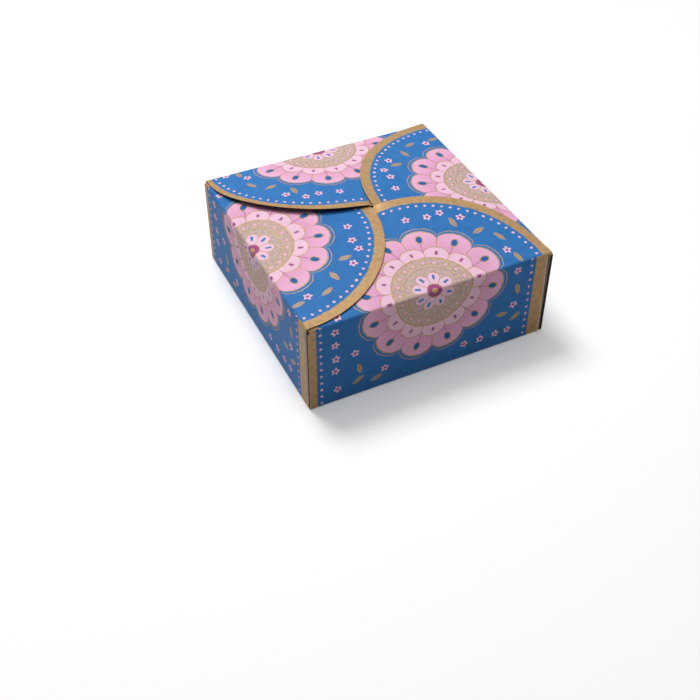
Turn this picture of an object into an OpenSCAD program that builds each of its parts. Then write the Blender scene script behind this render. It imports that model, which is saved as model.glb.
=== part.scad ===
// Petal-top gift box folded from one die-cut sheet of card: a square base, four walls,
// a web corner folded flat behind each wall, and four half-round flaps whose free halves
// overlap in a ring, each one over its right-hand neighbour and under its left-hand one.
// Origin at the middle of the base, +Z up. Millimetres.

/* [Box] */
// Outside width of the square body
body_w = 100; // [60:1:200]
// Height of the lowest flap's top face above the table
body_h = 38; // [20:0.5:90]

/* [Card] */
// Thickness of the card
card_t = 0.4; // [0.2:0.05:0.8]
// Air left between two layers of card that lie on each other
layer_gap = 0.2; // [0.1:0.05:0.6]
// Inside radius of the creases between base and walls
base_crease_r = 0.3; // [0.2:0.05:1]
// Inside radius of the softer creases between walls and flaps
flap_crease_r = 0.8; // [0.2:0.05:1]

/* [Web corners] */
// Outside radius of the soft bend where a wall's right end turns into the web
web_bend_r = 1.2; // [0.9:0.1:3]
// How far the web has sprung away from the next wall's hem at the top of the corner
web_spring = 0.5; // [0:0.1:3]

/* [Flaps] */
// Distance from each end of the crease to the corner of the box
flap_inset = 0.8; // [0.8:0.1:4]
// Distance from each flap's tip to the middle of the box
tip_gap = 0.6; // [0.3:0.1:3]
// Rise of the closed top from its creases to the middle
dome_rise = 4; // [0:0.1:10]
// Lift of the -Y flap's free edge, near its right-hand corner
front_lift = 3.8; // [0:0.1:6]
// Lift of the +X flap's free edge
right_lift = 1; // [0:0.1:6]
// Lift of the +Y flap's free edge, which has sprung open
back_lift = 4.4; // [0:0.1:6]
// Lift of the -X flap's free edge
left_lift = 0.5; // [0:0.1:6]
// Share of a flap's lift that the flap under it follows
under_follow = 0.45; // [0:0.05:0.45]

/* [Hidden] */
card_colour = "#2f7fc4";
free_steps = 20;
crease_steps = 16;
radial_steps = 6;
bend_steps = 5;
arc_fn = 48;
lift_growth = 0.7;
lift_corner = 8;
follow_across = 0.7;
flap_lifts = [front_lift, right_lift, back_lift, left_lift];
// Where two stretches of the sheet join, one runs this far into the other.
lap = 0.2;

half_w = body_w / 2;
base_bend_r = base_crease_r + card_t;
flap_bend_r = flap_crease_r + card_t;
layer_pitch = card_t + layer_gap;
base_edge = half_w - base_bend_r;

// The hem is a wall's left end folded back on itself, with the web's first half behind the wall.
hem_r = card_t + layer_gap / 2;
hem_front = -half_w + layer_pitch;
hem_axis = -half_w + hem_r;

// The flaps climb like one turn of a square stair, one layer for each side of the box.
crease_y = -half_w + flap_bend_r;
stair_slope = layer_pitch / (-2 * crease_y);
stair_angle = atan(stair_slope);
flap_t = card_t / cos(stair_angle);
wall_mid_z = body_h + layer_pitch - flap_bend_r / cos(stair_angle);
hem_top = wall_top(hem_axis);

// The web leans inwards by web_lean, hinged at the foot of the wall's right end.
web_lean = atan(web_spring / body_h);
web_axis = half_w - 2 * layer_pitch - web_bend_r / cos(web_lean);
web_reach = hem_top + web_bend_r;
wall_right = (web_axis - (wall_mid_z - lap) * tan(web_lean)) / (1 + stair_slope * tan(web_lean));

// The free edge of a flap is half an ellipse about the middle of its crease.
flap_a = half_w - flap_inset;
flap_b = half_w - tip_gap;
crease_end = flap_a * sqrt(1 - pow(flap_bend_r / flap_b, 2));
crease_end_angle = atan2(crease_y, crease_end);

// Height of the wall's top edge, where its crease begins, at x
function wall_top(x) = wall_mid_z + stair_slope * x;

// Middle of the leaning web's card at height z, measured along the wall that it grows from
function web_mid(z) = web_axis + (web_bend_r - card_t / 2) / cos(web_lean) - z * tan(web_lean);

// Sides of the box passed since the flap's left neighbour, by direction from the middle
function stair(x, y) =
    abs(x) < abs(y) ? 1 + x / abs(y) / 2 :
    x > 0 ? 2 - abs(y) / x / 2 : abs(y / x) / 2;

// The quadratic in r where the ray at an angle crosses the ellipse, as [half b / a, c / a]
function edge_terms(angle) =
    let (a = pow(cos(angle) / flap_a, 2) + pow(sin(angle) / flap_b, 2))
    [half_w * sin(angle) / pow(flap_b, 2) / a, (pow(half_w / flap_b, 2) - 1) / a];

// Distance from the middle to the near and far crossing of a flap's outline
function near_edge(angle) =
    let (q = edge_terms(angle)) -q[0] - sqrt(max(0, q[0] * q[0] - q[1]));
function far_edge(angle) =
    let (q = edge_terms(angle)) -q[0] + sqrt(max(0, q[0] * q[0] - q[1]));
function outer_reach(angle) =
    abs(angle + 90) <= 90 + crease_end_angle + 0.001 ? crease_y / sin(angle) : far_edge(angle);

// Narrowest angle at which the ray from the middle still meets the flap, with a little room
edge_gap = pow(half_w / flap_b, 2) - 1;
edge_angle = atan(sqrt(edge_gap) * flap_b / flap_a) * 1.02;

// Directions of the flap's ribs: under the neighbour, along the crease, then over the next one
flap_angles = concat(
    [for (i = [0:free_steps - 1])
        -180 + edge_angle + (-crease_end_angle - edge_angle) * i / free_steps],
    [for (i = [0:crease_steps])
        atan2(crease_y, -crease_end + 2 * crease_end * i / crease_steps)],
    [for (i = [1:free_steps])
        crease_end_angle + (-edge_angle - crease_end_angle) * i / free_steps]);

// Shares of a flap's lift over the quarter of the top that its free half covers, by shares of the
// way from the middle to the crease on its right (along) and to its own crease (across)
function lift_profile(along) =
    along <= 0 || along >= 1 ? 0 : pow(along, lift_growth) * (1 - pow(along, lift_corner));
function own_lift(along, across) =
    lift_profile(along) * max(0, min(1, (1 - across) / sqrt(1 - min(0.999, along * along))));
function follow_lift(along, across) =
    across <= 0 || across >= 1 ? 0 : lift_profile(along) * sin(180 * pow(across, follow_across));

// A point of a flap's top face, which lifts with its own free half and follows the flap over the other
function flap_point(angle, share, lift, lift_over) =
    let (r = near_edge(angle) + (outer_reach(angle) - near_edge(angle)) * share,
         x = r * cos(angle),
         y = r * sin(angle),
         u = x / crease_y,
         v = y / crease_y)
    [x, y, body_h + layer_pitch * stair(x, y) + dome_rise * (1 - u * u) * (1 - v * v)
        + lift * own_lift(-u, v) + under_follow * lift_over * follow_lift(v, u)];

// A point of the crease between wall and flap at radius r, from level with the flap (0) to upright,
// and past that inside the wall
function crease_point(x, step, r) =
    let (turn = 90 - 90 * min(1, step / bend_steps))
    [x, crease_y - r * cos(turn), wall_top(x) + r * sin(turn) - (step > bend_steps ? 2 * lap : 0)];

// A quarter of a tube of card, from straight down the wall to level, in the XY plane
module bend_section(outer_r) {
    intersection() {
        difference() {
            circle(outer_r, $fn = arc_fn);
            circle(outer_r - card_t, $fn = arc_fn);
        }
        translate([-outer_r, 0]) square(outer_r);
    }
}

// Crease of a given length along X, with the card below it at y = -r and above it at z = r
module crease(length, outer_r) {
    rotate([90, 0, 90])
        linear_extrude(length, center = true) bend_section(outer_r);
}

module base() {
    translate([-base_edge, -base_edge, 0])
        cube([2 * base_edge, 2 * base_edge, card_t]);
}

// Crease between the base and the wall on the -Y side
module base_crease() {
    translate([0, -base_edge, base_bend_r])
        mirror([0, 0, 1]) crease(2 * base_edge, base_bend_r);
}

// The wall on the -Y side, whose top climbs one layer from left to right
module wall() {
    translate([0, -half_w + card_t, 0]) rotate([90, 0, 0])
        linear_extrude(card_t) polygon([
            [hem_axis, base_bend_r],
            [web_axis - base_bend_r * tan(web_lean) - lap, base_bend_r],
            [wall_right - lap, wall_top(wall_right) - lap],
            [hem_axis, hem_top - lap]]);
}

// Half space above the diagonal crease that rises from the foot of the left corner
module above_diagonal() {
    translate([-half_w, 0, 0]) rotate([0, -45, 0])
        translate([-body_h, -half_w - body_h, 0])
            cube([4 * body_h, body_w + 2 * body_h, 2 * body_h]);
}

// The wall's left end folded right back, and the half of the web that lies behind the wall
module hem() {
    translate([0, 0, base_bend_r]) linear_extrude(hem_top - base_bend_r)
        translate([hem_axis, hem_axis]) intersection() {
            difference() {
                circle(hem_r, $fn = arc_fn);
                circle(layer_gap / 2, $fn = arc_fn);
            }
            translate([-hem_r, -hem_r]) square([hem_r, 2 * hem_r]);
        }
    intersection() {
        translate([hem_axis, hem_front, base_bend_r])
            cube([hem_top, card_t, hem_top - base_bend_r]);
        above_diagonal();
    }
}

// The wall's right end turned inwards, and the half of the next corner's web that it carries
module web() {
    intersection() {
        translate([web_axis, 0, 0]) rotate([0, -web_lean, 0])
            translate([0, 0, -body_h]) linear_extrude(3 * body_h) {
                translate([0, -half_w + web_bend_r]) rotate(180)
                    bend_section(web_bend_r);
                translate([-2 * lap, -half_w])
                    square([2 * lap, card_t]);
                translate([web_bend_r - card_t, -half_w + web_bend_r])
                    square([card_t, web_reach]);
            }
        translate([0, -half_w, base_bend_r])
            cube([half_w, web_reach, hem_top - base_bend_r]);
        rotate(90) above_diagonal();
    }
}

// The diagonal crease that joins the hem to the web of the wall on its left, from the middle of
// one card to the middle of the other
module diagonal_crease() {
    foot = base_bend_r + 2 * card_t;
    head = hem_top - 2 * card_t;
    hem_mid = hem_front + card_t / 2;
    translate([-half_w, 0, 0]) rotate([0, -45, 0])
        translate([0, 0, -card_t]) linear_extrude(2 * card_t) polygon([
            [foot * sqrt(2), hem_mid],
            [head * sqrt(2), hem_mid],
            [head * sqrt(2), -web_mid(head)],
            [foot * sqrt(2), -web_mid(foot)]]);
}

// Half-round flap of the wall on the -Y side, swept round the middle of the box, with the crease
// along its straight edge
module flap(lift, lift_over) {
    ribs = len(flap_angles);
    rows = radial_steps + 1;
    first = free_steps;
    last = free_steps + crease_steps;
    crease_x = [for (i = [first:last]) crease_y / tan(flap_angles[i])];
    top = concat(
        [for (angle = flap_angles, j = [0:radial_steps])
            flap_point(angle, j / radial_steps, lift, lift_over)],
        [for (x = crease_x, step = [1:bend_steps + 1]) crease_point(x, step, flap_bend_r)]);
    under = concat(
        [for (k = [0:ribs * rows - 1]) top[k] - [0, 0, flap_t]],
        [for (x = crease_x, step = [1:bend_steps + 1]) crease_point(x, step, flap_crease_r)]);
    lower = len(top);
    end = rows + bend_steps;
    cells = concat(
        [for (i = [0:ribs - 2], j = [0:rows - 2]) [i, j]],
        [for (i = [first:last - 1], j = [rows - 1:end - 1]) [i, j]]);
    rim = concat(
        [for (i = [0:ribs - 1]) at(i, 0)],
        [for (j = [1:rows - 1]) at(ribs - 1, j)],
        [for (i = [ribs - 2:-1:last]) at(i, rows - 1)],
        [for (j = [rows:end]) at(last, j)],
        [for (i = [last - 1:-1:first]) at(i, end)],
        [for (j = [end - 1:-1:rows - 1]) at(first, j)],
        [for (i = [first - 1:-1:0]) at(i, rows - 1)],
        [for (j = [rows - 2:-1:1]) at(0, j)]);
    // Number of the point on a rib: the flap's rows come first, then those of the crease
    function at(i, j) = j < rows ? i * rows + j : ribs * rows + (i - first) * (bend_steps + 1) + j - rows;
    polyhedron(concat(top, under), concat(
        [for (c = cells)
            let (a = at(c[0], c[1]), b = at(c[0], c[1] + 1),
                 d = at(c[0] + 1, c[1]), e = at(c[0] + 1, c[1] + 1))
            each [[a, d, b], [b, d, e],
                [lower + a, lower + b, lower + d], [lower + b, lower + e, lower + d]]],
        [for (n = [0:len(rim) - 1])
            let (a = rim[n], b = rim[(n + 1) % len(rim)])
            each [[a, lower + a, b], [b, lower + a, lower + b]]]));
}

// One side of the sheet, as it stands on the -Y side, with the lift of its own flap and of the one over it
module side(lift, lift_over) {
    base_crease();
    wall();
    hem();
    web();
    diagonal_crease();
    flap(lift, lift_over);
}

module folded_box() {
    color(card_colour) union() {
        base();
        for (turn = [0:3])
            rotate(90 * turn) side(flap_lifts[turn], flap_lifts[(turn + 3) % 4]);
    }
}

folded_box();
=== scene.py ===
"""A petal-top gift box folded from one printed sheet of card, dressed for a studio render."""

import logging
import math
from dataclasses import dataclass
from enum import IntEnum

import bpy
import numpy as np
from mathutils import Color, Matrix, Vector


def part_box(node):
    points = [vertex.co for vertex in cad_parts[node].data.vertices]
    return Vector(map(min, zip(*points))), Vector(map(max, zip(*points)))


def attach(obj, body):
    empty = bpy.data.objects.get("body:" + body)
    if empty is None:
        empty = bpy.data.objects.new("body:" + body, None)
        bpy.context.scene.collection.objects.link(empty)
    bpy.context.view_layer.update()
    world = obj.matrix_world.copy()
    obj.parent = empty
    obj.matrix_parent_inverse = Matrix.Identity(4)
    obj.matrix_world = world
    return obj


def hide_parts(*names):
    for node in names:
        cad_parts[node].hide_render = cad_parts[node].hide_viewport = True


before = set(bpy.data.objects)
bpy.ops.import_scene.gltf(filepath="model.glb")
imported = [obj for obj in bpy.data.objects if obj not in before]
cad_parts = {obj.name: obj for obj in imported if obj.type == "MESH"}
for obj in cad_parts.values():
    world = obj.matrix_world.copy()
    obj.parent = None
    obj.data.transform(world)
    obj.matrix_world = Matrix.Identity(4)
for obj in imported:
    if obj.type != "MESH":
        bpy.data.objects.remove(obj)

LOG = logging.getLogger("gift_box")
MM = 0.001
TINY = 1e-9
FRAME_PIXELS = 700
FOLD_MAP = "Fold"
BAKE_MAP = "OFBake"

Socket = bpy.types.NodeSocket
Colour = tuple[float, float, float, float]
Places = np.ndarray | float


def ink(red: int, green: int, blue: int) -> Colour:
    """Turns an 8-bit display colour into the linear colour that a shader takes."""
    shown = Color([channel / 255 for channel in (red, green, blue)])
    return (*shown.from_srgb_to_scene_linear(), 1.0)


def grid(*parts: Places) -> np.ndarray:
    """Stacks the parts of points, or of places on the flat sheet, over rows and columns."""
    return np.stack(np.broadcast_arrays(*parts), axis=-1)


def placed(name: str, data: bpy.types.ID) -> bpy.types.Object:
    """Makes an object and puts it in the scene.

    Args:
        name: Name of the object.
        data: The mesh, lamp or camera that it shows.

    Returns:
        The object, at the origin.
    """
    made = bpy.data.objects.new(name, data)
    bpy.context.scene.collection.objects.link(made)
    return made


class Zone(IntEnum):
    """What a face of the sheet shows."""

    PRINT = 0
    BASE = 1
    WEB = 2
    INSIDE = 3
    CUT_EDGE = 4


class Side(IntEnum):
    """The sides of the box, in the order in which they are set round it."""

    FRONT = 0
    RIGHT = 1
    BACK = 2
    LEFT = 3


@dataclass(frozen=True)
class BoxSizes:
    """Sizes of the folded box in metres, with one side standing at -Y."""

    width: float
    body_height: float = 38 * MM
    card: float = 0.4 * MM
    layer_gap: float = 0.2 * MM
    base_crease_inside: float = 0.3 * MM
    flap_crease_inside: float = 0.8 * MM
    web_bend: float = 1.2 * MM
    web_spring: float = 0.5 * MM
    flap_inset: float = 0.8 * MM
    tip_gap: float = 0.6 * MM
    dome_rise: float = 4 * MM
    front_lift: float = 3.8 * MM
    right_lift: float = 1 * MM
    back_lift: float = 4.4 * MM
    left_lift: float = 0.5 * MM
    under_follow: float = 0.45
    lift_growth: float = 0.7
    lift_corner: float = 8
    follow_across: float = 0.7

    @property
    def half(self) -> float:
        """Half of the outside width."""
        return self.width / 2

    @property
    def pitch(self) -> float:
        """Height of one layer of card with its air."""
        return self.card + self.layer_gap

    @property
    def base_bend(self) -> float:
        """Outside radius of the creases between base and walls."""
        return self.base_crease_inside + self.card

    @property
    def flap_bend(self) -> float:
        """Outside radius of the creases between walls and flaps."""
        return self.flap_crease_inside + self.card

    @property
    def base_edge(self) -> float:
        """Distance from the middle of the box to the axis of each crease of the base."""
        return self.half - self.base_bend

    @property
    def crease_line(self) -> float:
        """Distance from the middle of the box to the axis of each flap's crease."""
        return self.half - self.flap_bend

    @property
    def stair_slope(self) -> float:
        """Climb of a wall's top edge for each metre along it."""
        return self.pitch / (2 * self.crease_line)

    @property
    def hem(self) -> float:
        """Outside radius of the hem at a wall's left end."""
        return self.card + self.layer_gap / 2

    @property
    def flap_half(self) -> float:
        """Half of a flap's width."""
        return self.half - self.flap_inset

    @property
    def flap_depth(self) -> float:
        """Distance from the face of the wall to a flap's tip."""
        return self.half - self.tip_gap

    @property
    def crease_end(self) -> float:
        """Half of the length of the crease between a wall and its flap."""
        return self.flap_half * math.sqrt(1 - (self.flap_bend / self.flap_depth) ** 2)

    def wall_top(self, x: Places) -> Places:
        """Gives the height at which the wall ends and its crease begins."""
        return self.body_height + self.pitch - self.flap_bend + self.stair_slope * x

    @property
    def hem_top(self) -> float:
        """Height of the wall's left end."""
        return self.wall_top(self.hem - self.half)

    def web_face(self, z: Places) -> Places:
        """Gives where the outer face of the leaning web stands at a height."""
        return self.half - 2 * self.pitch - z * self.web_spring / self.body_height

    def wall_end(self, z: Places) -> Places:
        """Gives where the wall's flat face ends and turns into the web at a height."""
        return self.web_face(z) - self.web_bend

    @property
    def wall_right(self) -> float:
        """Right end of the wall's top edge."""
        lean = self.web_spring / self.body_height
        return self.wall_end(self.wall_top(0.0)) / (1 + self.stair_slope * lean)

    def diagonal(self, z: np.ndarray) -> np.ndarray:
        """Gives where the web's diagonal crease passes a height, along either wall."""
        return np.maximum(z, self.web_bend + self.layer_gap) - self.half


@dataclass
class Patch:
    """A grid of points on the sheet's outer face, whose rows by columns normal points outwards."""

    points: np.ndarray
    fold: np.ndarray
    zone: np.ndarray | Zone
    own_lift: Places = 0.0
    under_lift: Places = 0.0
    slack: Places = 0.0


@dataclass
class FoldedSide:
    """One side of the sheet: a quarter of the base, a wall with half of two webs, and a flap."""

    sizes: BoxSizes
    flap_columns: int = 120
    flap_rows: int = 36
    wall_rows: int = 22
    base_rows: int = 12
    crease_rows: int = 7
    leaf_columns: int = 6
    bend_columns: int = 8
    end_spread: float = 0.15
    widest_share: float = 0.999

    def crease_columns(self) -> np.ndarray:
        """Spaces the flap's columns, closer towards the ends, with one at the wall's right end.

        Returns:
            Places along the crease.
        """
        turn = np.linspace(-1, 1, self.flap_columns + 1)
        share = self.end_spread * turn + (1 - self.end_spread) * np.sin(turn * math.pi / 2)
        places = share * self.sizes.crease_end
        nearest = int(np.argmin(np.abs(places - self.sizes.wall_right)))
        places[nearest] = self.sizes.wall_right
        return places

    def wall_columns(self) -> np.ndarray:
        """Gives the columns that the wall shares with the flap above it."""
        places = self.crease_columns()
        return places[places <= self.sizes.wall_right + TINY]

    def wall_foot(self) -> np.ndarray:
        """Places the wall's columns along the crease of the base.

        Returns:
            Places along the crease.
        """
        top = self.wall_columns()
        share = (top - top[0]) / (top[-1] - top[0])
        return top[0] + share * (self.sizes.wall_end(self.sizes.base_bend) - top[0])

    def band(self) -> Patch:
        """Makes the upright band: half a web behind the wall, its hem, the wall, and half a web.

        Returns:
            The patch from the left-hand diagonal crease to the right-hand one.
        """
        s = self.sizes
        rise = np.linspace(0, 1, self.wall_rows + 1)[:, None]
        low = s.base_bend + rise * (s.hem_top - s.base_bend)
        along = np.linspace(0, 1, self.leaf_columns + 1)
        axis = s.hem - s.half
        back = 2 * s.hem - s.half
        crease = s.diagonal(low)
        hem = np.linspace(0, math.pi, self.bend_columns + 1)[1:]
        top, foot = self.wall_columns(), self.wall_foot()
        wall_x = foot + (top - foot) * rise
        wall_z = s.base_bend + rise * (s.wall_top(top) - s.base_bend)
        bend = np.linspace(0, math.pi / 2, self.bend_columns + 1)[1:]
        drop = np.minimum(1, 2 * bend / bend[-1])
        end_top = s.wall_top(s.wall_right)
        bend_z = s.base_bend + rise * (end_top + (s.hem_top - end_top) * drop - s.base_bend)
        bend_x = s.wall_end(bend_z) + s.web_bend * np.sin(bend)
        web = s.web_face(low)
        web_start = s.web_bend - s.half
        gap = (-back - web) / 2
        fold = np.linspace(math.pi, 0, self.bend_columns + 1)[1:]
        # From left to right: web leaf, hem, wall, bend into the web, web, half of its diagonal fold.
        strips = [
            grid(crease + (axis - crease) * along, back, low),
            grid(axis - s.hem * np.sin(hem), axis + s.hem * np.cos(hem), low),
            grid(wall_x, -s.half, wall_z),
            grid(bend_x, s.web_bend * (1 - np.cos(bend)) - s.half, bend_z),
            grid(web, web_start + (crease - web_start) * along[1:], low),
            grid(web + gap * (1 + np.cos(fold)), crease + gap * np.sin(fold), low),
        ]
        points = np.concatenate(strips, axis=1)
        x, z = points[:, :, 0], points[:, :, 2]
        leaf_end = strips[0].shape[1]
        start = leaf_end + strips[1].shape[1]
        end = start + len(top)
        step = np.linalg.norm(np.diff(points[:, :, :2], axis=1), axis=-1)
        run = np.hstack([0 * low, np.cumsum(step, axis=1)])
        run += (x - run)[:, start:start + 1]
        ends_at = np.full(x.shape[1], s.hem_top)
        ends_at[start:end] = s.wall_top(top)
        zone = np.full((self.wall_rows, x.shape[1] - 1), Zone.WEB)
        zone[:, leaf_end - 1:end - 1] = Zone.PRINT
        slack = np.zeros_like(x)
        slack[:, start:end] = np.sin(math.pi * rise) * (1 - (wall_x / s.half) ** 2)
        return Patch(points, grid(run, z - ends_at), zone, slack=slack)

    def base_quarter(self) -> Patch:
        """Makes a quarter of the base.

        Returns:
            The patch from the middle of the base to the crease at its edge.
        """
        line = self.sizes.base_edge
        edge = np.hstack([-line, self.wall_foot(), line])
        share = np.linspace(0, 1, self.base_rows + 1)[:, None]
        points = grid(edge * share, -line * share, 0.0)
        return Patch(points, points[:, :, :2], Zone.BASE)

    def base_crease(self) -> Patch:
        """Makes the quarter bend between the base and the wall.

        Returns:
            The patch from the base upwards.
        """
        s = self.sizes
        foot = self.wall_foot()
        turn = np.linspace(0, math.pi / 2, self.crease_rows + 1)[:, None]
        points = grid(foot, -s.base_edge - s.base_bend * np.sin(turn),
                      s.base_bend * (1 - np.cos(turn)))
        wall = s.wall_top(self.wall_columns()) - s.base_bend
        return Patch(points, grid(foot, s.base_bend * (turn - math.pi / 2) - wall), Zone.PRINT)

    def flap_crease(self) -> Patch:
        """Makes the quarter bend between the wall and its flap.

        Returns:
            The patch from the wall upwards.
        """
        s = self.sizes
        places = self.crease_columns()
        turn = np.linspace(0, math.pi / 2, self.crease_rows + 1)[:, None]
        points = grid(places, -s.crease_line - s.flap_bend * np.cos(turn),
                      s.wall_top(places) + s.flap_bend * np.sin(turn))
        return Patch(points, grid(places, s.flap_bend * turn), Zone.PRINT)

    def stair(self, x: np.ndarray, y: np.ndarray) -> np.ndarray:
        """Counts the sides of the box passed since the flap's left neighbour.

        Args:
            x: Places along the wall.
            y: Places across the box, all on the flap's half of it.

        Returns:
            Layers of card between the lowest flap and this one.
        """
        deep = np.maximum(np.abs(y), TINY)
        wide = np.maximum(np.abs(x), TINY)
        steep = 1 + x / deep / 2
        right = 2 - deep / wide / 2
        left = deep / wide / 2
        return np.where(np.abs(x) < deep, steep, np.where(x > 0, right, left))

    def lift_profile(self, along: np.ndarray) -> np.ndarray:
        """Shapes a flap's lift along its free edge: none in the middle and none at the corner."""
        share = np.clip(along, 0, 1)
        return share ** self.sizes.lift_growth * (1 - share ** self.sizes.lift_corner)

    def own_lift(self, along: np.ndarray, across: np.ndarray) -> np.ndarray:
        """Spreads a flap's lift from its crease, where it is none, to its free edge.

        Args:
            along: Shares of the way from the middle to the crease on the flap's right.
            across: Shares of the way from the middle to the flap's own crease.

        Returns:
            Shares of the flap's lift.
        """
        reach = np.sqrt(1 - np.minimum(self.widest_share, along ** 2))
        return self.lift_profile(along) * np.clip((1 - across) / reach, 0, 1)

    def follow_lift(self, along: np.ndarray, across: np.ndarray) -> np.ndarray:
        """Spreads the lift with which a flap follows the one over it, in that one's own shares."""
        share = np.clip(across, 0, 1) ** self.sizes.follow_across
        return self.lift_profile(along) * np.sin(math.pi * share)

    def flap(self) -> Patch:
        """Makes the half-round flap, domed and one layer above its right-hand neighbour.

        Returns:
            The patch from the crease to the free edge.
        """
        s = self.sizes
        places = self.crease_columns()
        share = np.linspace(0, 1, self.flap_rows + 1)[:, None]
        reach = s.flap_depth * np.sqrt(np.maximum(0, 1 - (places / s.flap_half) ** 2))
        run = np.maximum(0, reach - s.flap_bend) * share
        y = run - s.crease_line
        u, v = places / s.crease_line, -y / s.crease_line
        dome = (1 - u * u) * (1 - v * v)
        z = s.body_height + s.pitch * self.stair(places, y) + s.dome_rise * dome
        return Patch(grid(places, y, z), grid(places, s.flap_bend * math.pi / 2 + run), Zone.PRINT,
                     self.own_lift(u, v), self.follow_lift(v, -u), np.maximum(0, dome))

    def mesh(self, name: str) -> bpy.types.Mesh:
        """Joins the patches of one side into a mesh with its fold map and attributes.

        Args:
            name: Name of the mesh.

        Returns:
            The mesh, with the patches still loose along their seams.
        """
        patches = [self.base_quarter(), self.base_crease(), self.band(), self.flap_crease(),
                   self.flap()]
        points, faces, fold, zones = [], [], [], []
        weights = {"own_lift": [], "under_lift": [], "slack": []}
        start = 0
        for patch in patches:
            rows, columns = patch.points.shape[:2]
            index = start + np.arange(rows * columns).reshape(rows, columns)
            quads = grid(index[:-1, :-1], index[:-1, 1:], index[1:, 1:], index[1:, :-1])
            points.append(patch.points.reshape(-1, 3))
            fold.append(patch.fold.reshape(-1, 2) / MM)
            faces.append(quads.reshape(-1, 4))
            zones.append(np.broadcast_to(patch.zone, (rows - 1, columns - 1)).ravel())
            for key, values in weights.items():
                values.append(np.broadcast_to(getattr(patch, key), (rows, columns)).ravel())
            start += rows * columns
        corners = np.concatenate(faces)
        mesh = bpy.data.meshes.new(name)
        mesh.from_pydata(np.concatenate(points), [], corners.tolist())
        layer = mesh.uv_layers.new(name=FOLD_MAP)
        layer.data.foreach_set("uv", np.concatenate(fold)[corners.ravel()].ravel())
        kind = mesh.attributes.new("zone", "FLOAT", "FACE")
        kind.data.foreach_set("value", np.concatenate(zones).astype(float))
        for key, values in weights.items():
            weight = mesh.attributes.new(key, "FLOAT", "POINT")
            weight.data.foreach_set("value", np.concatenate(values))
        return mesh


class Field:
    """A number that varies over a surface, held as an output of a node tree."""

    def __init__(self, tree: bpy.types.NodeTree, socket: Socket) -> None:
        """Wraps an output of a tree."""
        self.tree = tree
        self.socket = socket

    def math(self, operation: str, *others: "Field | float", clamp: bool = False) -> "Field":
        """Adds a Math node to this number.

        Args:
            operation: What the node does.
            *others: Further numbers that it takes.
            clamp: Whether the result is kept between 0 and 1.

        Returns:
            The result.
        """
        node = self.tree.nodes.new("ShaderNodeMath")
        node.operation = operation
        node.use_clamp = clamp
        for target, value in zip(node.inputs, (self, *others)):
            if isinstance(value, Field):
                self.tree.links.new(value.socket, target)
            else:
                target.default_value = value
        return Field(self.tree, node.outputs[0])

    def __add__(self, other: "Field | float") -> "Field":
        """Adds."""
        return self.math("ADD", other)

    def __sub__(self, other: "Field | float") -> "Field":
        """Subtracts."""
        return self.math("SUBTRACT", other)

    def __rsub__(self, other: float) -> "Field":
        """Subtracts from a plain number."""
        return self.math("MULTIPLY_ADD", -1.0, other)

    def __mul__(self, other: "Field | float") -> "Field":
        """Multiplies."""
        return self.math("MULTIPLY", other)

    def __truediv__(self, other: "Field | float") -> "Field":
        """Divides."""
        return self.math("DIVIDE", other)

    def __abs__(self) -> "Field":
        """Drops the sign."""
        return self.math("ABSOLUTE")

    def __or__(self, other: "Field") -> "Field":
        """Joins two masks."""
        return self.math("MAXIMUM", other)

    def without(self, other: "Field") -> "Field":
        """Cuts a mask out of this one."""
        return self * (1.0 - other)

    def reach(self, other: "Field") -> "Field":
        """Gives the length of a line whose two parts are this number and another."""
        return (self * self + other * other).math("SQRT")

    def above(self, edge: "Field | float", soft: float) -> "Field":
        """Gives 1 over an edge and 0 under it, with a step of a soft width between."""
        return (self - edge).math("MULTIPLY_ADD", 1 / soft, 0.5, clamp=True)

    def below(self, edge: "Field | float", soft: float) -> "Field":
        """Gives 1 under an edge and 0 over it, with a step of a soft width between."""
        return (self - edge).math("MULTIPLY_ADD", -1 / soft, 0.5, clamp=True)

    def near(self, place: "Field | float", width: float, soft: float) -> "Field":
        """Gives 1 along a line of a width round a place and 0 off it."""
        return abs(self - place).below(width / 2, soft)

    def equals(self, number: int) -> "Field":
        """Gives 1 where this whole number is a given one and 0 elsewhere."""
        return self.math("COMPARE", float(number), 0.5)


Feed = Field | Socket | tuple | float | str


class NodeBench:
    """A node tree in the making, with short ways to add nodes and feed their inputs."""

    COLOUR_UNDER = 6
    COLOUR_OVER = 7
    COLOUR_RESULT = 2

    def __init__(self, tree: bpy.types.NodeTree) -> None:
        """Starts on a tree."""
        self.tree = tree

    def feed(self, target: Socket, value: Feed) -> None:
        """Links an output to an input, or sets the input to a plain value.

        Args:
            target: The input.
            value: The output or the plain value.
        """
        source = value.socket if isinstance(value, Field) else value
        if isinstance(source, Socket):
            self.tree.links.new(source, target)
        else:
            target.default_value = source

    def node(self, kind: str, inputs: dict[str | int, Feed] | None = None,
             **settings: object) -> bpy.types.Node:
        """Adds a node.

        Args:
            kind: Blender's name for the node.
            inputs: What to feed to its inputs, by their names or numbers.
            **settings: Properties to set on it first.

        Returns:
            The node.
        """
        made = self.tree.nodes.new(kind)
        for key, value in settings.items():
            setattr(made, key, value)
        for key, value in (inputs or {}).items():
            self.feed(made.inputs[key], value)
        return made

    def field(self, socket: Socket) -> Field:
        """Wraps an output of this tree."""
        return Field(self.tree, socket)

    def paint(self, under: Socket | Colour, over: Socket | Colour, mask: Field) -> Socket:
        """Lays one colour over another.

        Args:
            under: Colour below.
            over: Colour on top.
            mask: How much of the top colour shows.

        Returns:
            The painted colour.
        """
        inputs = {"Factor": mask, self.COLOUR_UNDER: under, self.COLOUR_OVER: over}
        return self.node("ShaderNodeMix", inputs, data_type="RGBA").outputs[self.COLOUR_RESULT]


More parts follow.
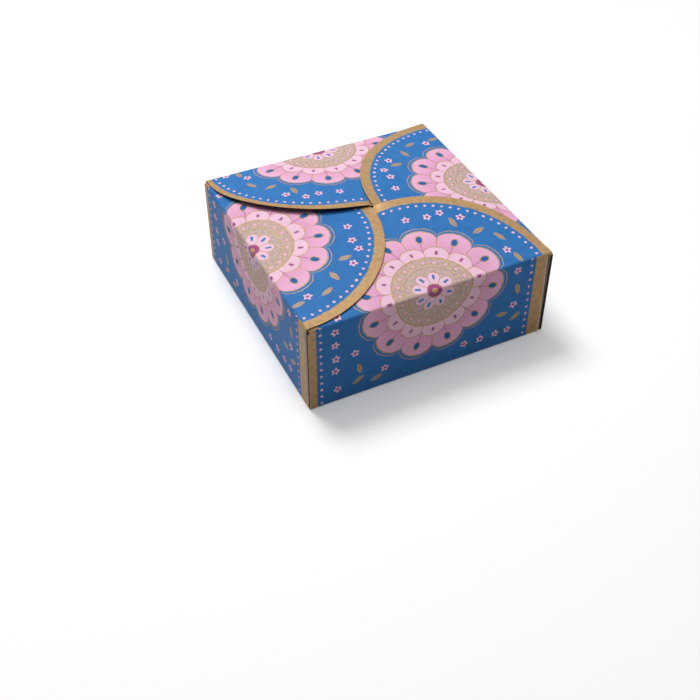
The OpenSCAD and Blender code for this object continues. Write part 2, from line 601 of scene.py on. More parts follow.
class FoldTree(NodeBench):
    """Geometry nodes that set a side of the sheet round the box and give the card its thickness."""

    LIFTS = tuple(f"{side.name.capitalize()} lift" for side in Side)
    NUMBERS = (*LIFTS, "Under follow", "Card thickness", "Wave depth", "Wave size", "Weld distance")
    WAVE_DETAIL = 1.0

    def __init__(self, name: str) -> None:
        """Starts a tree with its named inputs.

        Args:
            name: Name of the tree.
        """
        super().__init__(bpy.data.node_groups.new(name, "GeometryNodeTree"))
        self.identifiers: dict[str, str] = {}
        kinds = {"Side": "Geometry", "Sides": "Int", "Finish": "Material"}
        for title in ("Side", "Sides", *self.NUMBERS, "Finish"):
            kind = "NodeSocket" + kinds.get(title, "Float")
            socket = self.tree.interface.new_socket(title, in_out="INPUT", socket_type=kind)
            self.identifiers[title] = socket.identifier
        self.tree.interface.new_socket("Box", in_out="OUTPUT", socket_type="NodeSocketGeometry")
        self.given = self.node("NodeGroupInput").outputs

    def size(self, name: str) -> Field:
        """Reads a named input of the tree."""
        return self.field(self.given[name])

    def attribute(self, name: str) -> Field:
        """Reads a named number of the mesh."""
        made = self.node("GeometryNodeInputNamedAttribute", {"Name": name}, data_type="FLOAT")
        return self.field(made.outputs["Attribute"])

    def store(self, geometry: Socket, name: str, domain: str, value: Field | float,
              selection: Socket | bool = True) -> Socket:
        """Keeps a number on the geometry.

        Args:
            geometry: Geometry to keep it on.
            name: Name of the attribute.
            domain: What each number belongs to.
            value: The number.
            selection: Where to keep it.

        Returns:
            The geometry with the attribute.
        """
        inputs = {"Geometry": geometry, "Selection": selection, "Name": name, "Value": value}
        kind = "GeometryNodeStoreNamedAttribute"
        return self.node(kind, inputs, data_type="FLOAT", domain=domain).outputs["Geometry"]

    def weld(self, geometry: Socket) -> Socket:
        """Merges points that lie on each other."""
        inputs = {"Geometry": geometry, "Distance": self.size("Weld distance")}
        return self.node("GeometryNodeMergeByDistance", inputs).outputs["Geometry"]

    def shift(self, geometry: Socket, offset: Socket) -> Socket:
        """Moves points by an offset."""
        inputs = {"Geometry": geometry, "Offset": offset}
        return self.node("GeometryNodeSetPosition", inputs).outputs["Geometry"]

    def upright(self, length: Field) -> Socket:
        """Makes a vector along the box's height."""
        return self.node("ShaderNodeCombineXYZ", {"Z": length}).outputs[0]

    def lift_of(self, turn: Field) -> Field:
        """Picks the lift of a side's flap.

        Args:
            turn: Number of the side.

        Returns:
            The lift.
        """
        made = self.node("GeometryNodeIndexSwitch", data_type="FLOAT")
        while len(made.index_switch_items) < len(self.LIFTS):
            made.index_switch_items.new()
        for target, value in zip(made.inputs, (turn, *map(self.size, self.LIFTS))):
            self.feed(target, value)
        return self.field(made.outputs[0])

    def ring(self) -> Socket:
        """Sets the sides round the box, lifts their flaps and joins them.

        Returns:
            The folded sheet, without thickness.
        """
        sides = self.size("Sides")
        points = self.node("GeometryNodePoints", {"Count": sides}).outputs[0]
        index = self.field(self.node("GeometryNodeInputIndex").outputs[0])
        spin = self.upright(index / sides * (2 * math.pi))
        inputs = {"Points": points, "Instance": self.given["Side"], "Rotation": spin}
        copies = self.node("GeometryNodeInstanceOnPoints", inputs).outputs[0]
        marked = self.store(copies, "turn", "INSTANCE", index)
        real = self.node("GeometryNodeRealizeInstances", {0: marked}).outputs[0]
        turn = self.attribute("turn")
        loose = self.store(real, "side", "FACE", turn)
        # The flap over this one belongs to the side before it.
        before = (turn + float(len(Side) - 1)).math("FLOORED_MODULO", sides)
        own = self.lift_of(turn) * self.attribute("own_lift")
        over = self.lift_of(before) * self.attribute("under_lift")
        rise = own + over * self.size("Under follow")
        return self.weld(self.shift(loose, self.upright(rise)))

    def waved(self, sheet: Socket) -> Socket:
        """Lets the sheet sink softly where it has slack.

        Args:
            sheet: The folded sheet.

        Returns:
            The sheet's outer face.
        """
        place = self.node("GeometryNodeInputPosition").outputs[0]
        inputs = {"Vector": place, "Scale": self.size("Wave size").math("POWER", -1.0),
                  "Detail": self.WAVE_DETAIL}
        wave = self.node("ShaderNodeTexNoise", inputs, noise_dimensions="3D").outputs[0]
        sink = self.field(wave) * self.attribute("slack") * self.size("Wave depth") * -1.0
        normal = self.node("GeometryNodeInputNormal").outputs[0]
        push = self.node("ShaderNodeVectorMath", {0: normal, "Scale": sink}, operation="SCALE")
        return self.shift(sheet, push.outputs[0])

    def build(self) -> bpy.types.NodeTree:
        """Lays out the whole tree.

        Returns:
            The tree.
        """
        outer = self.waved(self.ring())
        inputs = {"Mesh": outer, "Offset Scale": self.size("Card thickness") * -1.0,
                  "Individual": False}
        thick = self.node("GeometryNodeExtrudeMesh", inputs, mode="FACES").outputs
        lined = self.store(thick["Mesh"], "zone", "FACE", float(Zone.INSIDE), thick["Top"])
        edged = self.store(lined, "zone", "FACE", float(Zone.CUT_EDGE), thick["Side"])
        turned = self.node("GeometryNodeFlipFaces", {0: edged}).outputs[0]
        both = self.node("GeometryNodeJoinGeometry")
        for half in (turned, outer):
            self.feed(both.inputs[0], half)
        inputs = {"Geometry": self.weld(both.outputs[0]), "Material": self.given["Finish"]}
        dressed = self.node("GeometryNodeSetMaterial", inputs).outputs[0]
        self.node("NodeGroupOutput", {0: dressed})
        return self.tree


@dataclass(frozen=True)
class CardColours:
    """Inks and bare card, as they look in plain light, with the painted shade laid on crevices and
    cut edges.
    """

    blue: Colour = ink(50, 118, 184)
    blue_deep: Colour = ink(36, 96, 158)
    pink: Colour = ink(236, 178, 210)
    pink_pale: Colour = ink(236, 194, 216)
    pink_deep: Colour = ink(206, 132, 176)
    magenta: Colour = ink(158, 74, 128)
    beige: Colour = ink(202, 178, 166)
    beige_grey: Colour = ink(186, 158, 160)
    gold: Colour = ink(180, 145, 100)
    gold_dull: Colour = ink(164, 130, 92)
    web: Colour = ink(204, 186, 174)
    inside: Colour = ink(104, 94, 88)
    # The cut edge is painted near-black as shade, darker than the bare card it is, for the gap under
    # each flap's rim.
    cut_edge_shade: Colour = ink(42, 35, 33)
    # Near-black painted shade, laid on the hem's end and deep in the corner slits.
    crevice_shade: Colour = ink(46, 36, 38)
    worn: Colour = ink(206, 190, 166)


@dataclass(frozen=True)
class Grain:
    """Soft noise, with the step that cuts it into specks."""

    scale: float
    detail: float
    edge: float = 0.5
    soft: float = 1.0


@dataclass(frozen=True)
class PetalRing:
    """A ring of round petals, in millimetres."""

    petals: int
    foot: float
    tip: float
    outline: float
    turn: float = 0.0


@dataclass(frozen=True)
class Stroke:
    """A short stroke along the middle of each petal of a ring, in millimetres."""

    half_width: float
    soft: float
    place: float
    length: float


@dataclass(frozen=True)
class PrintSizes:
    """Sizes of the printed design in millimetres on the flat sheet."""

    soft: float = 0.14
    line: float = 0.6
    fine_line: float = 0.36
    rim: float = 4.0
    left_band: float = 2.8
    right_band: float = 4.6
    back_slip_across: float = 1.9
    back_slip_along: float = 0.4
    crease_step: float = 0.02
    tremble: float = 0.8
    tremble_grain: Grain = Grain(0.45, 2.0)
    tremble_apart: tuple[float, float, float] = (31.0, 17.0, 5.0)
    ragged: float = 0.7
    ragged_grain: Grain = Grain(1.1, 3.0)
    mottle: Grain = Grain(0.22, 4.0, 0.625, 0.625)
    mottle_ink: float = 0.55
    scuff: Grain = Grain(0.5, 5.0, 0.55, 0.2)
    outer: PetalRing = PetalRing(12, 24.8, 29.4, 0.6)
    inner: PetalRing = PetalRing(12, 17.4, 21.2, 0.48, math.pi / 12)
    heart: PetalRing = PetalRing(8, 4.6, 8.6, 0.48)
    halo: float = 1.5
    tint_growth: float = 0.5
    streak_half: float = 0.2
    streak_soft: float = 0.3
    streak_end: float = 23.3
    streak_fade: float = 0.6
    streak_ink: float = 0.6
    eye_place: float = 25.0
    eye_width: float = 1.15
    eye_length: float = 1.7
    eye_soft: float = 0.12
    eye_ring: float = 1.12
    eye_line: float = 0.3
    dash: Stroke = Stroke(0.5, 0.3, 18.2, 1.8)
    drop: Stroke = Stroke(0.5, 0.14, 6.2, 2.2)
    stroke_fade: float = 0.4
    core: float = 15.6
    core_ring: float = 11.0
    core_grain: Grain = Grain(0.9, 4.0, 0.52, 0.12)
    seeds: int = 20
    seed_place: float = 13.3
    seed: float = 1.1
    seed_dot: float = 0.66
    button: float = 2.9
    button_dot: float = 1.1
    beads: int = 84
    bead_row: float = 1.7
    bead_step: float = 3.3
    bead_radius: float = 0.55
    cell: float = 6.6
    cell_spread: float = 0.55
    clear: float = 3.2
    clear_step: float = 0.01
    floret_share: float = 0.6
    floret_step: float = 0.001
    floret: float = 1.75
    floret_petals: float = 5.0
    floret_wave: float = 0.22
    floret_eye: float = 0.595
    leaf_length: float = 3.0
    leaf_width: float = 1.0
    leaf_vein: float = 0.12
    hem_shade_width: float = 0.3
    slit_shade_soft: float = 0.8


@dataclass(frozen=True)
class CardSurface:
    """Grain, wear and gloss of the card, on the scale of the box in metres."""

    fibre: Grain = Grain(2600.0, 3.0)
    fibre_shade: float = 0.10
    cloud: Grain = Grain(160.0, 3.0)
    cloud_shade: float = 0.14
    least_shade: float = 0.88
    crease_wear: Grain = Grain(900.0, 3.0, 0.6, 0.2)
    crease_width_mm: float = 0.3
    crease_fade_mm: float = 0.4
    crease_strength: float = 0.25
    foot_wear: Grain = Grain(500.0, 4.0, 0.5, 0.25)
    foot_height: float = 0.8 * MM
    foot_strength: float = 0.4
    metal: float = 0.2
    roughness: float = 0.6
    foil_gloss: float = 0.08
    print_gloss: float = 0.08
    fibre_roughness: float = 0.16
    bump_strength: float = 0.12
    bump_depth: float = 0.05 * MM
    foil_height: float = 0.8
    specular: float = 0.12


@dataclass
class PaintedRing:
    """Where a ring of petals lies on the print."""

    edge: Field
    body: Field
    middle: Field
    gold: Field


class PrintedCard(NodeBench):
    """The finish of the sheet: a folk-flower print outside and bare card on its other faces, with
    painted shade on the cut edges, the hem's end and inside the corner slits.
    """

    def __init__(self, name: str, box: BoxSizes) -> None:
        """Starts the material.

        Args:
            name: Name of the material.
            box: Sizes of the box that the sheet folds into.
        """
        self.material = bpy.data.materials.new(name)
        self.material.use_nodes = True
        super().__init__(self.material.node_tree)
        self.box = box
        self.colours = CardColours()
        self.sizes = PrintSizes()
        self.surface = CardSurface()
        self.wall_left = (box.hem - box.half) / MM
        self.wall_right = box.wall_right / MM
        self.slipped = self.attribute("side").equals(Side.BACK)

    def attribute(self, name: str) -> Field:
        """Reads a named number of the mesh."""
        return self.field(self.node("ShaderNodeAttribute", attribute_name=name).outputs["Fac"])

    def split(self, socket: Socket) -> list[Field]:
        """Takes the three parts of a vector."""
        parts = self.node("ShaderNodeSeparateXYZ", {0: socket}).outputs
        return [self.field(part) for part in parts]

    def plane(self, across: Field, along: Field) -> Socket:
        """Makes a vector in the sheet's plane from its two parts."""
        return self.node("ShaderNodeCombineXYZ", {"X": across, "Y": along}).outputs[0]

    def noise(self, vector: Socket, grain: Grain) -> Field:
        """Adds soft noise from 0 to 1."""
        inputs = {"Vector": vector, "Scale": grain.scale, "Detail": grain.detail}
        return self.field(self.node("ShaderNodeTexNoise", inputs, noise_dimensions="3D").outputs[0])

    def sway(self, vector: Socket, grain: Grain) -> Field:
        """Adds soft noise that goes as far below 0 as above it."""
        return self.noise(vector, grain) - 0.5

    def specks(self, vector: Socket, grain: Grain) -> Field:
        """Adds noise that is cut into specks."""
        return self.noise(vector, grain).above(grain.edge, grain.soft)

    def petal_share(self, angle: Field, petals: int) -> Field:
        """Gives how far a direction is from the gap between two petals, from 0 to 1."""
        half = math.pi / petals
        return angle.math("PINGPONG", half) * (1 / half)

    def across_crease(self, v: Field, flap: Field, wall: Field) -> Field:
        """Takes one number on the flap and another on the wall."""
        return wall + (flap - wall) * v.above(0.0, self.sizes.crease_step)

    def rim_distance(self, u: Field, v: Field) -> Field:
        """Gives the distance from a place to the inner edge of the gold rim.

        Args:
            u: Places across the sheet.
            v: Places along the sheet from the middle of the crease.

        Returns:
            The distance in millimetres, less than none on the rim.
        """
        p = self.sizes
        x = u - self.slipped * p.back_slip_across
        y = v - self.slipped * p.back_slip_along
        flap = (self.box.flap_half / MM - p.rim) - x.reach(y)
        left = u - (self.wall_left + p.left_band)
        right = (self.wall_right - p.right_band) - u
        return self.across_crease(v, flap, left.math("MINIMUM", right))

    def scatter(self, colour: Socket, u: Field, v: Field) -> tuple[Socket, Field]:
        """Strews florets and leaves over the blue ground.

        Args:
            colour: Colour below.
            u: Places across the sheet.
            v: Places along the sheet from the middle of the crease.

        Returns:
            The painted colour and where it is gold.
        """
        p, c = self.sizes, self.colours
        inputs = {"Vector": self.plane(u, v), "Scale": 1 / p.cell, "Randomness": p.cell_spread}
        cells = self.node("ShaderNodeTexVoronoi", inputs, voronoi_dimensions="2D", feature="F1")
        seat_u, seat_v, _ = self.split(cells.outputs["Position"])
        chance, spin, _ = self.split(cells.outputs["Color"])
        free = seat_u.reach(seat_v).above(p.outer.tip + p.halo + p.clear, p.clear_step)
        free = free * self.rim_distance(seat_u, seat_v).above(p.bead_row + p.clear, p.clear_step)
        free = free * seat_v.above(p.clear - self.box.body_height / MM, p.clear_step)
        x, y = u - seat_u, v - seat_v
        r = x.reach(y)
        turn = spin * (2 * math.pi)
        wave = ((y.math("ARCTAN2", x) + turn) * p.floret_petals).math("COSINE")
        edge = (wave * p.floret_wave + (1 - p.floret_wave)) * p.floret
        is_floret = chance.below(p.floret_share, p.floret_step) * free
        colour = self.paint(colour, c.pink_pale, r.below(edge, p.soft) * is_floret)
        colour = self.paint(colour, c.magenta, r.below(p.floret_eye, p.soft) * is_floret)
        cosine, sine = turn.math("COSINE"), turn.math("SINE")
        share = (x * cosine + y * sine) / p.leaf_length
        across = abs(y * cosine - x * sine)
        leaf = across.below((1.0 - share * share) * p.leaf_width, p.soft).without(is_floret) * free
        gold = leaf.without(across.below(p.leaf_vein, p.soft))
        return self.paint(colour, c.gold, gold), gold

    def bead_border(self, u: Field, v: Field, inside: Field) -> Field:
        """Sets a row of beads along the inner edge of the gold rim.

        Args:
            u: Places across the sheet.
            v: Places along the sheet from the middle of the crease.
            inside: Distance from the gold rim.

        Returns:
            Where the beads are.
        """
        p = self.sizes
        share = self.petal_share(v.math("ARCTAN2", u), p.beads)
        flap = u.reach(v) * (1.0 - share) * (math.pi / p.beads)
        along = self.across_crease(v, flap, v.math("PINGPONG", p.bead_step / 2))
        return along.reach(inside - p.bead_row).below(p.bead_radius, p.soft)

    def ring(self, r: Field, angle: Field, ring: PetalRing) -> PaintedRing:
        """Lays out a ring of round petals.

        Args:
            r: Distance from the flower's middle.
            angle: Direction from the flower's middle.
            ring: Sizes of the ring.

        Returns:
            The ring's edge, what its petals cover, the distance from their middles, and its gold.
        """
        p = self.sizes
        half = math.pi / ring.petals
        share = self.petal_share(angle + ring.turn, ring.petals)
        off = 1.0 - share
        bulge = (1.0 - off * off).math("MAXIMUM", 0.0).math("SQRT")
        edge = bulge * (ring.tip - ring.foot) + ring.foot
        body = r.below(edge, p.soft)
        between = (r * share * half).below(p.fine_line / 2, p.soft) * body
        return PaintedRing(edge, body, r * off * half, r.near(edge, ring.outline, p.soft) | between)

    def stroke(self, r: Field, ring: PaintedRing, stroke: Stroke) -> Field:
        """Draws a stroke along the middle of each petal of a ring."""
        width = ring.middle.below(stroke.half_width, stroke.soft)
        return width * r.near(stroke.place, stroke.length, self.sizes.stroke_fade)

    def rosette(self, colour: Socket, u: Field, v: Field) -> tuple[Socket, Field, Field]:
        """Paints the flower that sits half on the flap and half on the wall.

        Args:
            colour: Colour below.
            u: Places across the sheet from the flower's middle.
            v: Places along the sheet from the flower's middle.

        Returns:
            The painted colour, where it is gold, and the ground that it covers.
        """
        p, c = self.sizes, self.colours
        r, angle = u.reach(v), v.math("ARCTAN2", u)
        outer, inner, heart = (self.ring(r, angle, ring) for ring in (p.outer, p.inner, p.heart))
        tint = (r - p.core).math("DIVIDE", p.outer.tip - p.core, clamp=True)
        pink = self.paint(c.pink_deep, c.pink, tint.math("POWER", p.tint_growth))
        colour = self.paint(colour, pink, outer.body)
        streak = outer.middle.below(p.streak_half, p.streak_soft) * outer.body
        streak = streak * r.below(p.streak_end, p.streak_fade)
        colour = self.paint(colour, c.magenta, streak * p.streak_ink)
        eye = (outer.middle / p.eye_width).reach((r - p.eye_place) / p.eye_length)
        colour = self.paint(colour, c.blue_deep, eye.below(1.0, p.eye_soft))
        gold = outer.gold | r.near(outer.edge + p.halo, p.fine_line, p.soft)
        gold = gold | eye.near(p.eye_ring, p.eye_line, p.eye_soft)

        colour = self.paint(colour, c.pink_pale, inner.body)
        colour = self.paint(colour, c.magenta, self.stroke(r, inner, p.dash))
        gold = gold.without(inner.body) | inner.gold

        core = r.below(p.core, p.soft)
        grain = self.specks(self.plane(u, v), p.core_grain)
        colour = self.paint(colour, self.paint(c.beige, c.beige_grey, grain), core)
        beside = r * (1.0 - self.petal_share(angle, p.seeds)) * (math.pi / p.seeds)
        seed = beside.reach(r - p.seed_place)
        colour = self.paint(colour, c.pink, seed.below(p.seed_dot, p.soft))
        gold = gold.without(core) | seed.near(p.seed, p.fine_line, p.soft)
        gold = gold | r.near(p.core, p.line, p.soft) | r.near(p.core_ring, p.fine_line, p.soft)

        colour = self.paint(colour, c.pink_pale, heart.body)
        colour = self.paint(colour, c.blue, self.stroke(r, heart, p.drop))
        button = r.below(p.button, p.soft)
        colour = self.paint(colour, c.magenta, button)
        gold = (gold | heart.gold).without(button) | r.near(p.button, p.fine_line, p.soft)
        gold = gold | r.below(p.button_dot, p.soft)
        return self.paint(colour, c.gold, gold), gold, outer.body

    def build(self) -> bpy.types.Material:
        """Wires the whole finish.

        Returns:
            The material.
        """
        p, c, t = self.sizes, self.colours, self.surface
        fold = self.node("ShaderNodeUVMap", uv_map=FOLD_MAP).outputs[0]
        flat_u, flat_v, _ = self.split(fold)
        apart = self.node("ShaderNodeVectorMath", {0: fold, 1: p.tremble_apart}, operation="ADD")
        crease_middle = self.box.flap_bend * math.pi / 4 / MM
        u = flat_u + self.sway(fold, p.tremble_grain) * p.tremble
        v = flat_v + self.sway(apart.outputs[0], p.tremble_grain) * p.tremble - crease_middle

        blue = self.paint(c.blue, c.blue_deep, self.specks(fold, p.mottle) * p.mottle_ink)
        colour, leaf_gold = self.scatter(blue, u, v)
        inside = self.rim_distance(u, v)
        colour = self.paint(colour, c.pink_pale, self.bead_border(u, v, inside))
        colour, flower_gold, flower = self.rosette(colour, u, v)
        rim = (inside + self.sway(fold, p.ragged_grain) * p.ragged).below(0.0, p.soft)
        foil_ink = self.paint(c.gold, c.gold_dull, self.specks(fold, p.scuff))
        colour = self.paint(colour, foil_ink, rim)
        gold = leaf_gold.without(flower) | flower_gold | rim

        place = self.node("ShaderNodeTexCoord").outputs["Object"]
        crease = flat_v.near(crease_middle, t.crease_width_mm, t.crease_fade_mm) * t.crease_strength
        foot = self.split(place)[2].below(t.foot_height, t.foot_height) * t.foot_strength
        colour = self.paint(colour, c.worn, self.specks(place, t.crease_wear) * crease)
        colour = self.paint(colour, c.worn, self.specks(place, t.foot_wear) * foot)
        # Painted shade: the rounded end of the hem, at the wall's left end, is painted near-black
        # for the shade in the gap at the corner.
        hem = flat_u.below(self.wall_left - p.hem_shade_width, p.hem_shade_width)
        colour = self.paint(colour, c.crevice_shade, hem)

        # Painted shade: the web's face past the bend, deep in the corner slit, is painted near-black
        # for the shade there.
        slit_shade = flat_u.above(self.wall_right + self.box.web_bend * math.pi / 2 / MM, p.slit_shade_soft)
        # The webs take painted shade in their slits, and the whole cut edge takes its near-black
        # painted shade.
        others = {Zone.BASE: blue, Zone.WEB: self.paint(c.web, c.crevice_shade, slit_shade),
                  Zone.INSIDE: c.inside, Zone.CUT_EDGE: c.cut_edge_shade}
        kind = self.attribute("zone")
        for zone, shown in others.items():
            colour = self.paint(colour, shown, kind.equals(zone))

        fibre = self.noise(place, t.fibre)
        shade = fibre * t.fibre_shade + self.noise(place, t.cloud) * t.cloud_shade + t.least_shade
        tone = self.node("ShaderNodeVectorMath", {0: colour, "Scale": shade}, operation="SCALE")
        printed = kind.equals(Zone.PRINT)
        foil = gold * printed
        rough = (t.roughness - foil * t.foil_gloss) + (fibre - 0.5) * t.fibre_roughness
        bump = self.node("ShaderNodeBump", {
            "Strength": t.bump_strength, "Distance": t.bump_depth,
            "Height": fibre + foil * t.foil_height})
        finish = {"Base Color": tone.outputs[0], "Metallic": foil * t.metal,
                  "Roughness": rough - printed * t.print_gloss, "Normal": bump.outputs[0],
                  "Specular IOR Level": t.specular}
        shader = self.tree.nodes["Principled BSDF"]
        for name, value in finish.items():
            self.feed(shader.inputs[name], value)
        return self.material


@dataclass
class BakeLayout:
    """Where each region of the sheet lies on the square map that its colours are kept on."""

    sizes: BoxSizes
    arm_margin: float = 2.0
    small_scale: float = 0.15
    small_tiles: int = 12
    tile_fill: float = 0.9
    edge_columns: int = 240
    edge_fill: float = 0.8

    def read(self, data: bpy.types.bpy_prop_collection, key: str, width: int = 1) -> np.ndarray:
        """Reads a property of all elements of a mesh.

        Args:
            data: The elements.
            key: The property.
            width: How many numbers it has.

        Returns:
            The numbers, in rows of the width.
        """
        values = np.empty(len(data) * width)
        data.foreach_get(key, values)
        return values.reshape(-1, width)

    def fill(self, mesh: bpy.types.Mesh) -> None:
        """Writes the map on a mesh that has its zones, sides and fold map.

        Args:
            mesh: The finished mesh.
        """
        fold = self.read(mesh.uv_layers[FOLD_MAP].data, "uv", 2)
        zone = np.rint(self.read(mesh.attributes["zone"].data, "value")[:, 0])
        side = np.rint(self.read(mesh.attributes["side"].data, "value")[:, 0])
        counts = np.array([polygon.loop_total for polygon in mesh.polygons])
        face = np.repeat(np.arange(len(counts)), counts)
        kind, turn = zone[face], side[face]
        printed = kind == Zone.PRINT
        low, high = fold[printed].min(axis=0), fold[printed].max(axis=0)
        arm = high - low + 2 * self.arm_margin
        small = self.sizes.width / MM * self.small_scale
        square = max(2 * arm[0], 2 * arm[1] + 2 * small)
        place = np.zeros_like(fold)
        # The printed arms lie two by two.
        corner = grid(turn % 2 * arm[0], turn // 2 * arm[1])
        place[printed] = (fold - low + self.arm_margin + corner)[printed]
        # Base, webs and inside lie small in a row above them.
        tile = square / self.small_tiles
        for number, which in enumerate((Zone.BASE, Zone.WEB, Zone.INSIDE)):
            chosen = kind == which
            start = fold[chosen].min(axis=0)
            span = (fold[chosen].max(axis=0) - start).max()
            spot = grid((number * len(Side) + turn) * tile, 2 * arm[1])
            place[chosen] = ((fold - start) / span * tile * self.tile_fill + spot)[chosen]
        # Each face of the cut edge has a cell of its own above that row.
        cut = kind == Zone.CUT_EDGE
        first = np.concatenate([[0], np.cumsum(counts)[:-1]])
        order = (np.cumsum(zone == Zone.CUT_EDGE) - 1)[face]
        step = np.arange(len(fold)) - first[face]
        cell = square / self.edge_columns
        spot = grid(order % self.edge_columns, order // self.edge_columns) * cell
        corner = grid(np.isin(step, (1, 2)), np.isin(step, (2, 3))) * cell * self.edge_fill
        place[cut] = (spot + corner + [0, 2 * arm[1] + tile])[cut]
        layer = mesh.uv_layers.new(name=BAKE_MAP)
        layer.data.foreach_set("uv", (place / square).ravel())


@dataclass
class GiftBox:
    """The whole folded box, made from one sheet of printed card."""

    sizes: BoxSizes
    name: str = "gift_box_sheet"
    wave_depth: float = 0.25 * MM
    wave_size: float = 24 * MM
    weld: float = 0.002 * MM
    sharp_angle: float = math.radians(38)

    def build(self) -> bpy.types.Object:
        """Folds the sheet, dresses it and ties it to the frame.

        Returns:
            The finished piece.
        """
        s = self.sizes
        raw = placed("side_to_fold", FoldedSide(s).mesh("side_to_fold"))
        folds = FoldTree("fold_round_the_box")
        modifier = raw.modifiers.new("fold_round_the_box", "NODES")
        modifier.node_group = folds.build()
        lifts = (s.front_lift, s.right_lift, s.back_lift, s.left_lift)
        inputs = {"Sides": len(Side), **dict(zip(folds.LIFTS, lifts)),
                  "Under follow": s.under_follow, "Card thickness": s.card,
                  "Wave depth": self.wave_depth, "Wave size": self.wave_size,
                  "Weld distance": self.weld, "Finish": PrintedCard("printed_card", s).build()}
        for name, value in inputs.items():
            modifier[folds.identifiers[name]] = value
        seen = raw.evaluated_get(bpy.context.evaluated_depsgraph_get())
        mesh = bpy.data.meshes.new_from_object(seen)
        mesh.name = self.name
        raw.modifiers.remove(modifier)
        bpy.data.objects.remove(raw)
        mesh.shade_smooth()
        mesh.set_sharp_from_angle(angle=self.sharp_angle)
        BakeLayout(s).fill(mesh)
        piece = placed(self.name, mesh)
        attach(piece, "root")
        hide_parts("folded_box")
        return piece


@dataclass(frozen=True)
class Lamp:
    """A soft square lamp that faces the box, in metres and watts."""

    name: str
    place: tuple[float, float, float]
    size: float
    power: float

    def hang(self) -> None:
        """Puts the lamp in its place."""
        light = bpy.data.lights.new(self.name, "AREA")
        light.size = self.size
        light.energy = self.power
        lamp = placed(self.name, light)
        lamp.location = self.place
        lamp.rotation_euler = Vector(self.place).to_track_quat("Z", "Y").to_euler()


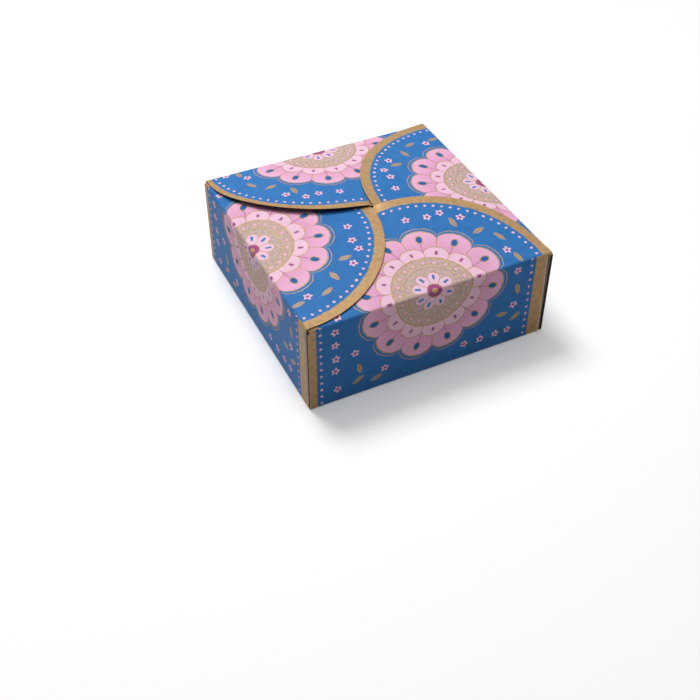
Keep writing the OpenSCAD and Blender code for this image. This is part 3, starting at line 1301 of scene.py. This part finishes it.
@dataclass
class Studio:
    """Pale floor, soft light and the camera."""

    floor_size: float = 3.0
    floor_drop: float = 0.02 * MM
    floor_colour: Colour = ink(214, 213, 212)
    floor_seen: Colour = ink(244, 244, 244)
    floor_roughness: float = 0.9
    floor_glow: float = 0.15
    fade_start: float = 0.15
    fade_end: float = 0.5
    sky_strength: float = 0.1
    key_lamp: Lamp = Lamp("key_lamp", (-0.1, 0.36, 0.8), 0.3, 4.8)
    ceiling_lamp: Lamp = Lamp("ceiling_lamp", (0.0, 0.0, 1.0), 1.0, 4.8)
    azimuth: float = math.radians(-26.0)
    elevation: float = math.radians(43.1)
    distance: float = 428 * MM
    aim_height: float = 19.1 * MM
    shift_right: float = -8.4 * MM
    shift_up: float = -37.6 * MM
    focal_pixels: float = 1080
    sensor: float = 36.0
    clip_near: float = 10 * MM

    def seen(self, bench: NodeBench) -> Field:
        """Gives 1 to the rays that show the background, and 0 to those that light.

        Args:
            bench: The tree to add to.

        Returns:
            The mask.
        """
        path = bench.node("ShaderNodeLightPath").outputs
        shown = bench.field(path["Is Camera Ray"])
        for name in ("Is Glossy Ray", "Is Transmission Ray"):
            shown = shown | bench.field(path[name])
        return shown

    def floor_finish(self) -> bpy.types.Material:
        """Makes the floor's finish, which keeps the box's shadow and fades to white away from it.

        Returns:
            The material.
        """
        material = bpy.data.materials.new("pale_floor")
        material.use_nodes = True
        bench = NodeBench(material.node_tree)
        seen = self.seen(bench)
        shader = bench.tree.nodes["Principled BSDF"]
        colour = bench.paint(self.floor_colour, self.floor_seen, seen)
        bench.feed(shader.inputs["Base Color"], colour)
        bench.feed(shader.inputs["Roughness"], self.floor_roughness)
        glow = bench.node("ShaderNodeEmission", {"Strength": seen * self.floor_glow})
        near = bench.node("ShaderNodeAddShader", {0: shader.outputs[0], 1: glow.outputs[0]})
        place = bench.node("ShaderNodeTexCoord").outputs["Object"]
        away = bench.node("ShaderNodeVectorMath", {0: place}, operation="LENGTH")
        inputs = {"Value": away.outputs["Value"], "From Min": self.fade_start,
                  "From Max": self.fade_end, "To Max": seen}
        fade = bench.node("ShaderNodeMapRange", inputs, interpolation_type="SMOOTHSTEP")
        white = bench.node("ShaderNodeEmission")
        surface = bench.node("ShaderNodeMixShader", {
            0: fade.outputs[0], 1: near.outputs[0], 2: white.outputs[0]})
        bench.feed(bench.tree.nodes["Material Output"].inputs["Surface"], surface.outputs[0])
        return material

    def floor(self) -> None:
        """Lays the floor just below the box."""
        half, low = self.floor_size / 2, -self.floor_drop
        corners = [(-half, -half, low), (half, -half, low), (half, half, low), (-half, half, low)]
        mesh = bpy.data.meshes.new("floor")
        mesh.from_pydata(corners, [], [(0, 1, 2, 3)])
        mesh.materials.append(self.floor_finish())
        placed("floor", mesh)

    def sky(self) -> None:
        """Makes the world white to the camera and a soft fill to the box."""
        world = bpy.data.worlds.new("studio")
        bpy.context.scene.world = world
        world.use_nodes = True
        bench = NodeBench(world.node_tree)
        strength = self.seen(bench) * (1 - self.sky_strength) + self.sky_strength
        background = bench.tree.nodes["Background"]
        background.inputs["Color"].default_value = (1, 1, 1, 1)
        bench.feed(background.inputs["Strength"], strength)

    def camera(self) -> None:
        """Sets the camera at the photograph's viewing angle."""
        level = math.cos(self.elevation)
        back = Vector((math.sin(self.azimuth) * level, -math.cos(self.azimuth) * level,
                       math.sin(self.elevation)))
        right = Vector((math.cos(self.azimuth), math.sin(self.azimuth), 0))
        up = back.cross(right)
        data = bpy.data.cameras.new("camera")
        data.sensor_width = self.sensor
        data.lens = self.focal_pixels * self.sensor / FRAME_PIXELS
        data.clip_start = self.clip_near
        place = Vector((0, 0, self.aim_height)) + back * self.distance
        place += right * self.shift_right + up * self.shift_up
        camera = placed("camera", data)
        turn = Matrix((right, up, back)).transposed().to_4x4()
        camera.matrix_world = Matrix.Translation(place) @ turn
        bpy.context.scene.camera = camera

    def build(self) -> None:
        """Sets up floor, light and camera."""
        self.floor()
        self.sky()
        self.key_lamp.hang()
        self.ceiling_lamp.hang()
        self.camera()
        bpy.context.scene.view_settings.view_transform = "Standard"


def main() -> None:
    """Builds the box at the width of the folded_box part, and its studio."""
    logging.basicConfig(level=logging.INFO, format="%(name)s: %(message)s")
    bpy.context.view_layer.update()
    low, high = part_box("folded_box")
    piece = GiftBox(BoxSizes(width=high[0] - low[0])).build()
    LOG.info("%s: %d faces", piece.name, len(piece.data.polygons))
    Studio().build()


if __name__ == "__main__":
    main()
